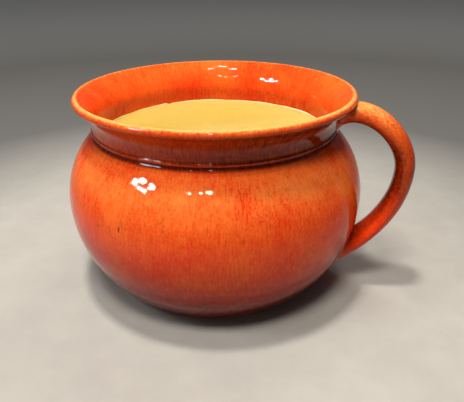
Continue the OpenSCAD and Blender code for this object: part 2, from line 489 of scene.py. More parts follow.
@dataclass(frozen=True)
class OrangeGlaze:
    """Glossy red-orange lead glaze, which runs down the pot, thins on edges and pools in hollows, with
    painted light and shade.
    """

    name: str = "orange_glaze"
    red: Triple = (0.86, 0.044, 0.005)
    warm: Triple = (1.0, 0.150, 0.018)
    lit_amber: Triple = (1.0, 0.225, 0.042)
    smudge: Triple = (0.40, 0.024, 0.004)
    thin: Triple = (0.98, 0.47, 0.12)
    deep: Triple = (0.13, 0.008, 0.002)
    refraction: float = 1.30
    runs: Noise = Noise(950.0, 2.0, 0.6)
    run_warmth: Span = Span(0.30, 0.70, -0.28, 0.28)
    run_darkening: Span = Span(0.3, 0.7, 1.12, 0.88)
    patches: Noise = Noise(26.0, 5.0, 0.62)
    patch_shift: Triple = (-0.13, -0.79, -0.89)
    patch_warmth: Span = Span(0.34, 0.70, 0.0, 0.9)
    patch_gloss: Span = Span(0.3, 0.7, 0.025, 0.06)
    grain: Noise = Noise(640.0, 3.0, 0.65)
    grain_warmth: Span = Span(0.3, 0.7, -0.27, 0.27)
    # Painted light: redder low on the pot and warmer up the belly, which faces the lamps above.
    height_lit_warmth: Span = Span(0.030, 0.100, -0.30, 0.12)
    lit_amber_share: Span = Span(0.1, 1.0)
    lines: Noise = Noise(620.0, 2.0, 0.6)
    line_flat: Triple = (0.04, 0.04, 1.0)
    line_darkening: Span = Span(0.3, 0.7, 1.12, 0.88)
    mottle: Noise = Noise(240.0, 4.0, 0.7)
    mottle_darkening: Span = Span(0.35, 0.65, 0.85, 1.15)
    wear: Noise = Noise(420.0, 4.0, 0.7)
    wear_share: Span = Span(0.35, 0.75, 0.0, 0.7)
    thin_gain: float = 1.3
    thin_share: Span = Span(0.0, 0.9, 0.0, 0.9)
    rust: Noise = Noise(560.0, 3.0, 0.6)
    rust_share: Span = Span(0.49, 0.64, 0.0, 0.6)
    rust_rise: Span = Span(0.02, 0.22)
    rust_fall: Span = Span(0.30, 0.70, 1.0, 0.35)
    drift: Noise = Noise(40.0, 3.0, 0.6)
    blots: Noise = Noise(150.0, 5.0, 0.7)
    blot_share: Span = Span(0.52, 0.74, 0.0, 0.65)
    blot_drift: Span = Span(0.40, 0.62)
    specks: Noise = Noise(1000.0, 2.0, 0.5)
    speck_share: Span = Span(0.60, 0.70, 0.0, 0.45)
    speck_drift: Span = Span(0.38, 0.6, 0.15, 1.0)
    scar_place: Triple = (-0.0338, -0.1010, 0.0804)
    scar_oval: Triple = (1.0, 1.0, 0.36)
    scar_fade: Span = Span(0.45 * MM, 1.05 * MM, 0.85, 0.0)
    waves: Noise = Noise(190.0, 2.0)
    wave_grain: float = 0.12
    wave_depth: float = 0.08 * MM

    def material(self) -> Material:
        """Builds the glaze: patches and runs, smudges, pools and painted shade, thin edges, painted light
        where lit, and one scar.

        Returns:
            The finished material.
        """
        desk = Desk(self.name)
        place = desk.place()
        runs = desk.noise(desk.reading(Mark.FLOW, "Vector"), self.runs)
        patches = desk.noise(desk.vector("ADD", place, self.patch_shift), self.patches)
        grain = desk.noise(place, self.grain)
        # Besides its random patches, runs and grain, the warmth rises with height as painted light.
        warmth = desk.chain("ADD", desk.between(patches, self.patch_warmth),
                            desk.between(runs, self.run_warmth),
                            desk.between(grain, self.grain_warmth),
                            desk.between(desk.height(place), self.height_lit_warmth))
        colour = desk.mix(desk.between(warmth, UNIT), self.red, self.warm)
        # Painted light: amber on the shoulder and the handle's top, which the lamps light from above.
        lit_amber = desk.chain("MULTIPLY", desk.reading(Mark.LIT_WARMTH), desk.between(warmth, self.lit_amber_share))
        colour = desk.mix(lit_amber, colour, self.lit_amber)
        colour = desk.mix(self.smudges(desk, place), colour, self.smudge)
        # Deep colour for pooled glaze and painted shade.
        colour = desk.mix(self.pools_and_shade(desk, place, runs), colour, self.deep)
        thin = desk.reading(Mark.THIN_AND_LIT)
        worn = desk.between(desk.noise(place, self.wear), self.wear_share)
        bare = desk.chain("SUBTRACT", desk.chain("MULTIPLY", thin, self.thin_gain), worn)
        colour = desk.mix(desk.between(bare, self.thin_share), colour, self.thin)
        rust = desk.chain("MULTIPLY", desk.between(desk.noise(place, self.rust), self.rust_share),
                          desk.between(thin, self.rust_rise), desk.between(thin, self.rust_fall))
        colour = desk.mix(rust, colour, self.smudge)
        desk.give("Base Color", desk.mix(self.scar(desk, place), colour, self.deep))
        desk.give("Roughness", desk.between(patches, self.patch_gloss))
        desk.give("IOR", self.refraction)
        fine = desk.chain("MULTIPLY", grain, self.wave_grain)
        desk.relief(desk.chain("ADD", desk.noise(place, self.waves), fine), self.wave_depth)
        return desk.material

    def smudges(self, desk: Desk, place: Socket) -> Socket:
        """Dark iron in the glaze: soft smudges in drifts, and fine specks among them.

        Args:
            desk: The material under construction.
            place: Coordinates in the frame.

        Returns:
            A socket with the share of dark colour.
        """
        drift = desk.noise(place, self.drift)
        blots = desk.between(desk.noise(place, self.blots), self.blot_share)
        blots = desk.chain("MULTIPLY", blots, desk.between(drift, self.blot_drift))
        specks = desk.between(desk.noise(place, self.specks), self.speck_share)
        specks = desk.chain("MULTIPLY", specks, desk.between(drift, self.speck_drift))
        return desk.chain("MAXIMUM", blots, specks)

    def pools_and_shade(self, desk: Desk, place: Socket, runs: Socket) -> Socket:
        """Deep glaze where the piece marks pooled glaze and painted shade, broken up by level lines,
        mottling and the runs.

        Args:
            desk: The material under construction.
            place: Coordinates in the frame.
            runs: The noise of the runs.

        Returns:
            A socket with the share of deep colour.
        """
        lines = desk.noise(desk.vector("MULTIPLY", place, self.line_flat), self.lines)
        mottle = desk.noise(place, self.mottle)
        pool_and_shade = desk.chain("MULTIPLY", desk.reading(Mark.POOL_AND_SHADE), desk.between(lines, self.line_darkening),
                          desk.between(mottle, self.mottle_darkening), desk.between(runs, self.run_darkening))
        return desk.between(pool_and_shade, UNIT)

    def scar(self, desk: Desk, place: Socket) -> Socket:
        """One short dark run on the belly, inside an upright oval round its place.

        Args:
            desk: The material under construction.
            place: Coordinates in the frame.

        Returns:
            A socket with the run's share of colour.
        """
        away = desk.vector("SUBTRACT", place, self.scar_place)
        oval = desk.vector("MULTIPLY", away, self.scar_oval)
        return desk.between(desk.length(oval), self.scar_fade)


@dataclass(frozen=True)
class YellowGlaze:
    """Glossy warm yellow lead glaze of the lining, slightly clouded, richer towards the floor and, as
    painted light, paler up the shaded wall.
    """

    name: str = "yellow_glaze"
    pale: Triple = (1.0, 0.99, 0.66)
    rich: Triple = (0.94, 0.68, 0.20)
    speck: Triple = (0.70, 0.40, 0.10)
    refraction: float = 1.52
    clouds: Noise = Noise(22.0, 4.0, 0.6)
    cloud_rich: Span = Span(0.35, 0.7, -0.15, 0.15)
    cloud_gloss: Span = Span(0.3, 0.7, 0.07, 0.13)
    runs: Noise = Noise(260.0, 3.0)
    run_rich: Span = Span(0.3, 0.7, -0.06, 0.06)
    height_rich: Span = Span(0.012, 0.070, 1.0, 0.0)
    speck_scale: float = 210.0
    speck_dot: Span = Span(0.06, 0.14, 1.0, 0.0)
    speck_kept: Span = Span(0.90, 0.97, 0.0, 0.6)
    waves: Noise = Noise(170.0, 2.0)
    wave_depth: float = 0.10 * MM

    def material(self) -> Material:
        """Builds the lining's glaze: clouds, faint runs and a few small specks.

        Returns:
            The finished material.
        """
        desk = Desk(self.name)
        place = desk.place()
        clouds = desk.noise(place, self.clouds)
        runs = desk.noise(desk.reading(Mark.FLOW, "Vector"), self.runs)
        # Painted light: paler up the wall, which lies in shade inside the pot, and richer on the floor that
        # the lamps reach.
        richness = desk.chain("ADD", desk.between(desk.height(place), self.height_rich),
                              desk.between(clouds, self.cloud_rich), desk.between(runs, self.run_rich))
        colour = desk.mix(desk.between(richness, UNIT), self.pale, self.rich)
        cells = desk.node("TexVoronoi", {"Vector": place, "Scale": self.speck_scale})
        chosen = desk.node("SeparateColor", {0: cells.outputs["Color"]}).outputs[0]
        specks = desk.chain("MULTIPLY", desk.between(cells.outputs["Distance"], self.speck_dot),
                            desk.between(chosen, self.speck_kept))
        desk.give("Base Color", desk.mix(specks, colour, self.speck))
        desk.give("Roughness", desk.between(clouds, self.cloud_gloss))
        desk.give("IOR", self.refraction)
        desk.relief(desk.noise(place, self.waves), self.wave_depth)
        return desk.material


@dataclass(frozen=True)
class BareClay:
    """Fired red clay with fine grog, wiped and a little dusty."""

    name: str = "bare_clay"
    body: Triple = (0.40, 0.150, 0.070)
    pale: Triple = (0.56, 0.270, 0.150)
    grit: Triple = (0.20, 0.075, 0.040)
    clouds: Noise = Noise(40.0, 4.0, 0.6)
    cloud_share: Span = Span(0.35, 0.7)
    grain: Noise = Noise(1500.0, 2.0, 0.7)
    grit_share: Span = Span(0.58, 0.7, 0.0, 0.7)
    grain_gloss: Span = Span(0.3, 0.7, 0.7, 0.9)
    ring_scale: float = 260.0
    ring_stray: float = 1.5
    ring_detail: float = 2.0
    ring_share: float = 0.5
    relief_depth: float = 0.15 * MM

    def material(self) -> Material:
        """Builds the clay: clouds, grains and the fine rings left by turning.

        Returns:
            The finished material.
        """
        desk = Desk(self.name)
        place = desk.place()
        clouds = desk.noise(place, self.clouds)
        grain = desk.noise(place, self.grain)
        colour = desk.mix(desk.between(clouds, self.cloud_share), self.body, self.pale)
        desk.give("Base Color", desk.mix(desk.between(grain, self.grit_share), colour, self.grit))
        desk.give("Roughness", desk.between(grain, self.grain_gloss))
        wave = {"Vector": place, "Scale": self.ring_scale, "Distortion": self.ring_stray,
                "Detail": self.ring_detail}
        rings = desk.node("TexWave", wave, wave_type="RINGS", rings_direction="Z").outputs["Fac"]
        rings = desk.chain("MULTIPLY", rings, self.ring_share)
        desk.relief(desk.chain("ADD", rings, grain), self.relief_depth)
        return desk.material


@dataclass(frozen=True)
class StudioFloor:
    """Plain pale matt floor with a faint cloud, grey away from the pot and as pale as the air far off."""

    name: str = "pale_floor"
    light: Triple = (0.45, 0.424, 0.377)
    dark: Triple = (0.41, 0.384, 0.342)
    far: Triple = (0.15, 0.145, 0.135)
    beyond: Triple = (0.86, 0.86, 0.87)
    clouds: Noise = Noise(30.0, 5.0, 0.65)
    cloud_share: Span = Span(0.35, 0.65)
    far_fade: Span = Span(0.22, 0.42)
    beyond_fade: Span = Span(0.9, 3.2)
    roughness: float = 0.75

    def material(self) -> Material:
        """Builds the floor's finish, which changes with the distance from the pot.

        Returns:
            The finished material.
        """
        desk = Desk(self.name)
        place = desk.place()
        clouds = desk.noise(place, self.clouds)
        away = desk.length(place)
        colour = desk.mix(desk.between(clouds, self.cloud_share), self.dark, self.light)
        colour = desk.mix(desk.between(away, self.far_fade), colour, self.far)
        desk.give("Base Color", desk.mix(desk.between(away, self.beyond_fade), colour, self.beyond))
        desk.give("Roughness", self.roughness)
        return desk.material


@dataclass
class PotForm:
    """The thrown pot's sizes, in metres, and the lines that follow from them.

    The belly is one arc below its widest height and another above it. A groove and a bead
    mark the foot of the neck, and the neck flares along an arc to a rolled lip. The throwing
    rings set in between two shares of the neck's radius, and above the foot by a few times
    its height.
    """

    belly_d: float
    height: float
    belly_z: float = 0.0685
    foot_d: float = 0.152
    foot_h: float = 0.0025
    foot_bevel: float = 0.0035
    wall: float = 0.0048
    floor_t: float = 0.007
    floor_fillet: float = 0.020
    neck_d: float = 0.172
    shoulder_z: float = 0.1152
    neck_wall: float = 0.0036
    groove_w: float = 0.0034
    groove_d: float = 0.0009
    bead_r: float = 0.0007
    rim_flare: float = 0.0114
    lip_roll: float = 0.0003
    glaze_t: float = 0.0006
    glaze_gap: float = 0.0008
    lining_up: float = 0.0008
    rim_drift: Pair = (0.00092, 0.00025)
    rim_oval: float = 0.00018
    oval_turn: float = 0.8
    ring_pitch: float = 0.0062
    ring_depth: float = 0.00004
    ring_inner: Pair = (0.5, 0.8)
    ring_foot: float = 4.0
    ring_calm: float = 0.7

    def __post_init__(self) -> None:
        """Works out the centres and radii of the arcs."""
        belly_r, foot_r, self.neck_r = self.belly_d / 2, self.foot_d / 2, self.neck_d / 2
        self.low_r = self.arc_radius(belly_r - foot_r, self.belly_z - self.foot_h)
        self.low_c = np.array([belly_r - self.low_r, self.belly_z])
        self.up_r = self.arc_radius(belly_r - self.neck_r, self.shoulder_z - self.belly_z)
        self.up_c = np.array([belly_r - self.up_r, self.belly_z])
        self.bead_c = np.array([self.neck_r, self.shoulder_z + self.groove_w + self.bead_r])
        self.neck_z = self.bead_c[1] + 2 * self.bead_r
        self.neck_in = self.neck_r - self.neck_wall
        self.neck_mid = self.neck_r - self.neck_wall / 2
        self.lip_r = self.neck_wall / 2 + self.lip_roll
        self.lip_c = np.array([self.neck_r + self.rim_flare - self.lip_r, self.height - self.lip_r])
        self.flare_r = self.arc_radius(self.lip_c[0] - self.neck_mid, self.lip_c[1] - self.neck_z)
        self.flare_c = np.array([self.neck_mid + self.flare_r, self.neck_z])
        self.glaze_z = self.foot_h + self.glaze_gap
        throat = np.arccos((self.neck_in - self.up_c[0]) / (self.up_r - self.wall))
        self.lining_z = self.up_c[1] + (self.up_r - self.wall) * np.sin(throat) + self.lining_up
        reach = self.low_r - self.wall - self.floor_fillet
        fillet_z = self.floor_t + self.floor_fillet
        across = np.sqrt(reach ** 2 - (self.belly_z - fillet_z) ** 2)
        self.fillet_c = np.array([self.low_c[0] + across, fillet_z])
        self.fillet_a = np.arctan2(fillet_z - self.belly_z, across)

    @staticmethod
    def arc_radius(dx: float, dz: float) -> float:
        """Radius of the arc that starts upright and moves dx sideways over a height dz."""
        return (dx * dx + dz * dz) / (2 * dx)

    def lip_angle(self, g: float, r: float) -> float:
        """Angle on the lip's circle where it meets a face of the flare, by the law of cosines.

        Args:
            g: Thickness of glaze that the lip's circle is grown by.
            r: Radius of the flare's face.

        Returns:
            The angle, in radians.
        """
        away = self.flare_c - self.lip_c
        grown = self.lip_r + g
        cosine = (grown ** 2 + self.flare_r ** 2 - r ** 2) / (2 * grown * self.flare_r)
        return np.arctan2(away[1], away[0]) - np.arccos(cosine)

    def flare_angle(self, g: float, r: float) -> float:
        """Angle of that same meeting point seen from the flare's centre.

        Args:
            g: Thickness of glaze that the lip's circle is grown by.
            r: Radius of the flare's face.

        Returns:
            The angle, in radians, from 0 to 2 pi.
        """
        a = self.lip_angle(g, r)
        point = self.lip_c + (self.lip_r + g) * np.array([np.cos(a), np.sin(a)]) - self.flare_c
        return np.arctan2(point[1], point[0]) % (2 * np.pi)

    def outside(self, g: float) -> Array:
        """Line of the pot's outside, grown by g: up the belly, over the lip and down to the lining.

        The groove between the shoulder and the bead is a hollow of half a sine wave.

        Args:
            g: Thickness of glaze on the clay.

        Returns:
            Even points from the glaze's lower edge to the edge of the lining.
        """
        start = np.arcsin((self.glaze_z - self.belly_z) / self.low_r)
        groove = np.arccos((self.neck_r + g - self.up_c[0]) / (self.up_r + g))
        bead = np.arccos(g / (self.bead_r + g))
        shoulder = arc(self.up_c, self.up_r + g, 0.0, groove)
        ridge = arc(self.bead_c, self.bead_r + g, -bead, bead)
        hollow = straight(shoulder[-1], ridge[0])
        hollow[:, 0] -= self.groove_d * np.sin(np.linspace(0.0, np.pi, len(hollow)))
        face = self.flare_r - self.neck_wall / 2 - g
        back = self.flare_r + self.neck_wall / 2 + g
        lip_from, lip_to = self.lip_angle(g, face), self.lip_angle(g, back) + 2 * np.pi
        return even(np.concatenate([
            arc(self.low_c, self.low_r + g, start, 0.0),
            shoulder[1:],
            hollow[1:-1],
            ridge,
            arc(self.flare_c, face, np.pi, self.flare_angle(g, face)),
            arc(self.lip_c, self.lip_r + g, lip_from, lip_to)[1:],
            arc(self.flare_c, back, self.flare_angle(g, back), np.pi)[1:],
            straight((self.neck_in - g, self.neck_z), (self.neck_in - g, self.lining_z))[1:],
        ]))

    def inside(self, g: float, top_z: float) -> Array:
        """Line of the pot's inside, grown inwards by g, from a height on the neck to the floor's middle.

        Args:
            g: Thickness of glaze on the clay.
            top_z: Height at which the line starts.

        Returns:
            Even points from the neck down the wall and in along the floor.
        """
        throat = np.arccos((self.neck_in - g - self.up_c[0]) / (self.up_r - self.wall - g))
        shoulder = arc(self.up_c, self.up_r - self.wall - g, throat, 0.0)
        return even(np.concatenate([
            straight((self.neck_in - g, top_z), shoulder[0]),
            shoulder[1:],
            arc(self.low_c, self.low_r - self.wall - g, 0.0, self.fillet_a)[1:],
            arc(self.fillet_c, self.floor_fillet - g, self.fillet_a, -np.pi / 2)[1:],
            straight((self.fillet_c[0], self.floor_t + g), (0.0, self.floor_t + g))[1:],
        ]))

    def settle(self, grid: Array) -> Array:
        """Moves points as the hand left them, all layers alike.

        Above the shoulder the rim drifts sideways and turns slightly oval, and a faint spiral
        of throwing rings, depth sin(2 pi z / pitch - angle), runs up the whole wall.

        Args:
            grid: Points of any piece of the pot.

        Returns:
            The moved points.
        """
        x, y, z = np.moveaxis(grid, -1, 0)
        angle, r = around_axis(grid), np.hypot(x, y)
        rise = ramp(self.shoulder_z - self.wall, self.height, z)
        rings = ramp(self.ring_inner[0] * self.neck_r, self.ring_inner[1] * self.neck_r, r)
        rings = rings * ramp(self.foot_h, self.ring_foot * self.foot_h, z) * (1.0 - self.ring_calm * rise)
        r = r + self.ring_depth * rings * np.sin(2 * np.pi * z / self.ring_pitch - angle)
        r = r + self.rim_oval * rise * np.cos(2 * angle - self.oval_turn)
        return np.stack([r * np.cos(angle) + self.rim_drift[0] * rise,
                         r * np.sin(angle) + self.rim_drift[1] * rise, z], axis=-1)

    def gap(self, points: Array) -> Array:
        """Distance of points from the glazed outside: from its arcs, negative inside the wall.

        Args:
            points: Points beside the belly, neck or lip.

        Returns:
            The distance of each point.
        """
        r, z = np.hypot(points[..., 0], points[..., 1]), points[..., 2]
        low = np.hypot(r - self.low_c[0], z - self.low_c[1]) - self.low_r
        up = np.hypot(r - self.up_c[0], z - self.up_c[1]) - self.up_r
        above = np.maximum(z - self.flare_c[1], 0.0)
        beyond = r - self.flare_c[0]
        neck = self.flare_r - self.neck_wall / 2 - np.hypot(np.minimum(beyond, 0.0), above)
        neck = neck + np.maximum(beyond, 0.0)
        lip = np.hypot(r - self.lip_c[0], z - self.lip_c[1]) - self.lip_r
        belly = np.where(z < self.belly_z, low, up)
        return np.where(z < self.shoulder_z, belly, np.minimum(neck, lip)) - self.glaze_t

    def outward(self, points: Array) -> Array:
        """Direction straight away from the glazed outside: the slope of the distance from it.

        Args:
            points: Points beside the belly, neck or lip.

        Returns:
            A unit vector for each point.
        """
        shifts = 0.1 * FINE * np.eye(3)
        return unit(np.stack([self.gap(points + e) - self.gap(points - e) for e in shifts], axis=-1))


@dataclass
class ThrownBody:
    """The thrown clay body: foot, belly, neck, lip and inside, in one closed piece."""

    form: PotForm
    turns: int = 192
    widest: float = 0.004
    turn: float = 0.2
    softness: float = 0.0005

    def build(self) -> Piece:
        """Spins the clay's outline, from the middle of the foot round to the middle of the floor.

        Returns:
            The body's object.
        """
        form = self.form
        edge = np.array([form.foot_d / 2, form.foot_h])
        base_r = form.foot_d / 2 - form.foot_bevel
        outer = form.outside(0.0)
        inner = form.inside(0.0, form.lining_z)
        line = even(np.concatenate([
            straight((FINE, 0.0), (base_r, 0.0)),
            straight((base_r, 0.0), edge)[1:],
            straight(edge, outer[0])[1:],
            outer[1:],
            inner[1:-1],
        ]))
        line = np.maximum(soften(line, self.softness), (POLE, 0.0))
        rows = pick(line, rows_by_bend(line, self.widest, self.turn))
        piece = skin("thrown_body", form.settle(spin(rows, self.turns)), caps=True)
        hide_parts("clay_body")
        return piece

    def dress(self, piece: Piece, finish: Material) -> None:
        """Gives the body its clay."""
        attach(piece, finish)


@dataclass
class OrangeCoat:
    """The orange glaze: a thin closed coat over the belly, neck and lip, and down inside the flare.

    Each share of warm, thin or pooled glaze, and of painted light and shade, rises or falls between
    a pair of edges: heights, distances, angles on the lip, or heights above the bead's middle in
    radii of the bead. Pairs that end in turn are cosines of the angle from where the lip is palest,
    or from where the collar's painted shade is lightest.
    """

    form: PotForm
    turns: int = 320
    widest: float = 0.003
    turn: float = 0.13
    back_widest: float = 0.006
    back_turn: float = 0.39
    softness: float = 0.0006
    inner_softness: float = 0.0022
    inner_from: float = 0.002
    inner_share: float = 0.75
    edge_roll: float = 0.0012
    edge_proud: float = 0.00025
    ridge_w: float = 0.0036
    ring_z: float = 0.1134
    ring_w: float = 0.0007
    ring_depth: float = 0.00009
    drip_reach: float = 0.005
    drip_mean: float = 0.00025
    drip_waves: tuple[Triple, ...] = ((0.00022, 5, 0.6), (0.00016, 11, 2.1), (0.00010, 23, 0.0))
    notch_angle: float = 2.32
    notch_w: float = 0.022
    notch_steps: tuple[Pair, ...] = ((0.00075, 0.0), (-0.00055, 0.05))
    lip_edge: Pair = (0.001, 0.002)
    crest_angle: float = 1.45
    crest_spread: float = 0.75
    bead_thin_and_highlight: float = 0.14
    bead_edge: Pair = (1.0, 2.0)
    pale_lip_angle: float = -1.35
    pale_lip_turn: Pair = (-0.2, 0.9)
    pale_lip_share: Pair = (0.55, 1.0)
    hollow_pool: float = 0.6
    hollow_reach: float = 0.0008
    hollow_bend: float = 420.0
    sharpest_bend: float = 900.0
    groove_pool_and_shade: float = 0.95
    groove_low: Pair = (-0.001, 0.001)
    groove_top: Pair = (-2.5, -1.0)
    throat_dark: float = 0.32
    throat_edge: Pair = (-0.001, 0.006)
    deep_from: float = 0.020
    deep_to: float = 0.068
    collar_pool_and_shade: float = 0.64
    collar_low: Pair = (-1.5, 0.0)
    under_lip: Pair = (-0.9, 0.3)
    lit_collar_angle: float = -2.45
    lit_collar_turn: Pair = (0.1, 1.0)
    lit_collar_share: Pair = (1.22, 0.52)
    warm_rise: Pair = (0.078, 0.104)
    warm_fall: Pair = (0.105, 0.111)
    warm_loss: float = 0.6
    flow_r: float = 0.1
    flow_pull: float = 0.16

    def front(self) -> Array:
        """Visible line of the coat: the grown outline, softened, rolled to the clay at its lower edge.

        A faint ring, a hollow of depth exp(-((z - ring_z) / ring_w)^2), runs round the shoulder, and
        the glaze stands proud of the lining by a rounded ridge at its inner edge.

        Returns:
            Even points from the lower edge to the edge at the lining.
        """
        form = self.form
        grown = form.outside(form.glaze_t)
        line, smooth = soften(grown, self.softness), soften(grown, self.inner_softness)
        s = lengths(line)
        top = s[np.argmax(line[:, 1])]
        line = line + ramp(0.0, self.inner_from, s - top)[:, None] * (smooth - line)
        step = unit(np.gradient(line, axis=0))
        ring = np.exp(-((line[:, 1] - self.ring_z) / self.ring_w) ** 2) * (s < top)
        line = line - self.ring_depth * ring[:, None] * np.stack([step[:, 1], -step[:, 0]], axis=-1)
        roll = quarter(s / self.edge_roll)
        count = int((roll < 1.0).sum())
        line[:count] += (1.0 - roll[:count, None]) * (form.outside(0.0)[:count] - line[:count])
        left = s[-1] - s
        ridge = quarter(left / self.edge_roll) * (1.0 - ramp(self.edge_roll, self.ridge_w, left))
        line[:, 0] -= self.edge_proud * ridge
        return line

    def drips(self, angle: Array) -> Array:
        """How far the inner edge hangs below its mean height round the mouth: soft waves and one notch.

        Args:
            angle: Angle round the axis.

        Returns:
            The drop at each angle, in metres.
        """
        waves = sum(size * np.sin(count * angle + start) for size, count, start in self.drip_waves)
        off = np.angle(np.exp(1j * (angle - self.notch_angle)))
        notch = sum(size * np.exp(-((off - at) / self.notch_w) ** 2) for size, at in self.notch_steps)
        return self.drip_mean + waves + notch

    def build(self) -> Piece:
        """Spins the coat, up its front and down its back, and hangs its inner edge unevenly.

        Returns:
            The coat's object, with its glaze marked.
        """
        form = self.form
        front = self.front()
        s = lengths(front)
        places = rows_by_bend(front, self.widest, self.turn)
        back = soften(form.outside(0.0)[::-1], self.softness)
        back = pick(back, rows_by_bend(back, self.back_widest, self.back_turn))[1:-1]
        grid = spin(np.concatenate([pick(front, places), back]), self.turns)
        angle = around_axis(grid)
        along = np.concatenate([pick(s, places), np.zeros(len(back))])[:, None]
        hang = 1.0 - ramp(form.lining_z, form.lining_z + self.drip_reach, grid[..., 2])
        grid[..., 2] -= (along > self.inner_share * s[-1]) * hang * self.drips(angle)
        piece = skin("orange_coat", form.settle(grid), ring=True)
        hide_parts("outer_glaze")
        self.marks(piece, angle, front, places)
        return piece

    def bands(self, front: Array) -> tuple[Array, Array, Array, Array]:
        """Where along the coat's line it is warm, thin, pooled or in painted shade, or dark on the collar.

        Warm colour on the shoulder is painted light, and thin glaze lies on the lip's crest and on the
        bead, where it is partly a painted highlight. Glaze pools in hollows; the groove holds pooled glaze
        and painted shade, the throat is darker, and the belly darkens towards the foot with thicker glaze
        and painted shade. The collar is the neck and the underside of the lip.

        Args:
            front: The coat's visible line.

        Returns:
            The four shares at each point of the line.
        """
        form, s, height = self.form, lengths(front), front[:, 1]
        out = s < s[np.argmax(height)]
        lip = front - form.lip_c
        lip_turn = np.arctan2(lip[:, 1], lip[:, 0])
        on_lip = 1.0 - ramp(*self.lip_edge, np.hypot(lip[:, 0], lip[:, 1]) - form.lip_r)
        beads = (height - form.bead_c[1]) / form.bead_r
        # Thin glaze on the lip's crest, and a lighter line on the bead: thinner glaze with a painted
        # highlight.
        thin = on_lip * np.exp(-((lip_turn - self.crest_angle) / self.crest_spread) ** 2)
        thin = thin + self.bead_thin_and_highlight * out * (1.0 - ramp(*self.bead_edge, np.abs(beads)))
        hollow = soften(np.clip(-bend(front), 0.0, self.sharpest_bend), self.hollow_reach)
        hollow = np.clip(hollow / self.hollow_bend, 0.0, 1.0)
        # Pooled glaze and painted shade in the groove.
        groove = ramp(*self.groove_low, height - form.shoulder_z) * (1.0 - ramp(*self.groove_top, beads))
        # Darker at the throat, inside the flare.
        throat = 1.0 - ramp(*self.throat_edge, height - form.neck_z)
        # Darker towards the foot: thicker glaze, and painted shade on the lower belly.
        deep = np.clip((self.deep_to - height) / (self.deep_to - self.deep_from), 0.0, 1.0)
        outer = np.maximum(self.hollow_pool * hollow, self.groove_pool_and_shade * groove) + deep
        pool_and_shade = np.where(out, outer, self.throat_dark * throat)
        # Collar: pooled glaze and painted shade on the neck and under the lip.
        neck = ramp(*self.collar_low, beads) * (1.0 - on_lip)
        under = on_lip * (1.0 - ramp(*self.under_lip, lip_turn))
        collar = out * self.collar_pool_and_shade * np.maximum(neck, under)
        # Painted light: a warm band on the shoulder, which is lit from above.
        warm = out * ramp(*self.warm_rise, height) * (1.0 - ramp(self.ring_z, form.shoulder_z, height))
        warm = warm * (1.0 - self.warm_loss * ramp(*self.warm_fall, height))
        return warm, thin, pool_and_shade, collar

    def marks(self, piece: Piece, angle: Array, front: Array, places: Array) -> None:
        """Writes the glaze's attributes: its bands, uneven round the pot with the collar's painted shade
        darker on one side, and how it ran.

        Args:
            piece: The coat's object.
            angle: Angle of its grid's points round the axis.
            front: The coat's visible line.
            places: Where on the line the visible rows lie.
        """
        hidden = np.zeros(len(angle) - len(places))
        warm, thin, pool_and_shade, collar, run = [
            np.concatenate([pick(along, places), hidden])[:, None]
            for along in (*self.bands(front), lengths(front))]
        # The lip's crest is palest on the side that faces the camera.
        lip_paleness = blend(self.pale_lip_share, ramp(*self.pale_lip_turn, np.cos(angle - self.pale_lip_angle)))
        # Painted shade: the collar is darkest on the side away from the window lamp.
        dark = blend(self.lit_collar_share, ramp(*self.lit_collar_turn, np.cos(angle - self.lit_collar_angle)))
        mark(piece, Mark.LIT_WARMTH, warm * np.ones_like(angle))
        mark(piece, Mark.THIN_AND_LIT, thin * lip_paleness)
        mark(piece, Mark.POOL_AND_SHADE, np.maximum(pool_and_shade, collar * dark))
        mark(piece, Mark.FLOW, flow_along(angle, self.flow_r, self.flow_pull * run))

    def dress(self, piece: Piece, finish: Material) -> None:
        """Gives the coat its glaze."""
        attach(piece, finish)


@dataclass
class YellowLining:
    """The yellow glaze inside: a thin closed coat from just under the orange edge down over the floor."""

    form: PotForm
    turns: int = 256
    widest: float = 0.003
    turn: float = 0.13
    back_widest: float = 0.006
    back_turn: float = 0.26
    back_off: float = 0.0001
    tuck: float = 0.0014
    flow_r: float = 0.1
    flow_pull: float = 0.3

    def build(self) -> Piece:
        """Spins the lining: up the clay from the floor's middle, over its upper edge and down again.

        Returns:
            The lining's object, with its runs marked.
        """
        form = self.form
        top = form.lining_z + self.tuck
        front = form.inside(form.glaze_t, top)
        places = rows_by_bend(front, self.widest, self.turn)[:-1]
        back = form.inside(self.back_off, top)[::-1]
        back = pick(back, rows_by_bend(back, self.back_widest, self.back_turn))[1:]
        line = np.concatenate([back, pick(front, places)])
        grid = spin(np.maximum(line, (POLE, 0.0)), self.turns)
        piece = skin("yellow_lining", form.settle(grid), caps=True)
        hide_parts("inner_glaze")
        run = np.concatenate([np.zeros(len(back)), pick(lengths(front), places)])[:, None]
        mark(piece, Mark.FLOW, flow_along(around_axis(grid), self.flow_r, self.flow_pull * run))
        return piece

    def dress(self, piece: Piece, finish: Material) -> None:
        """Gives the lining its glaze."""
        attach(piece, finish)


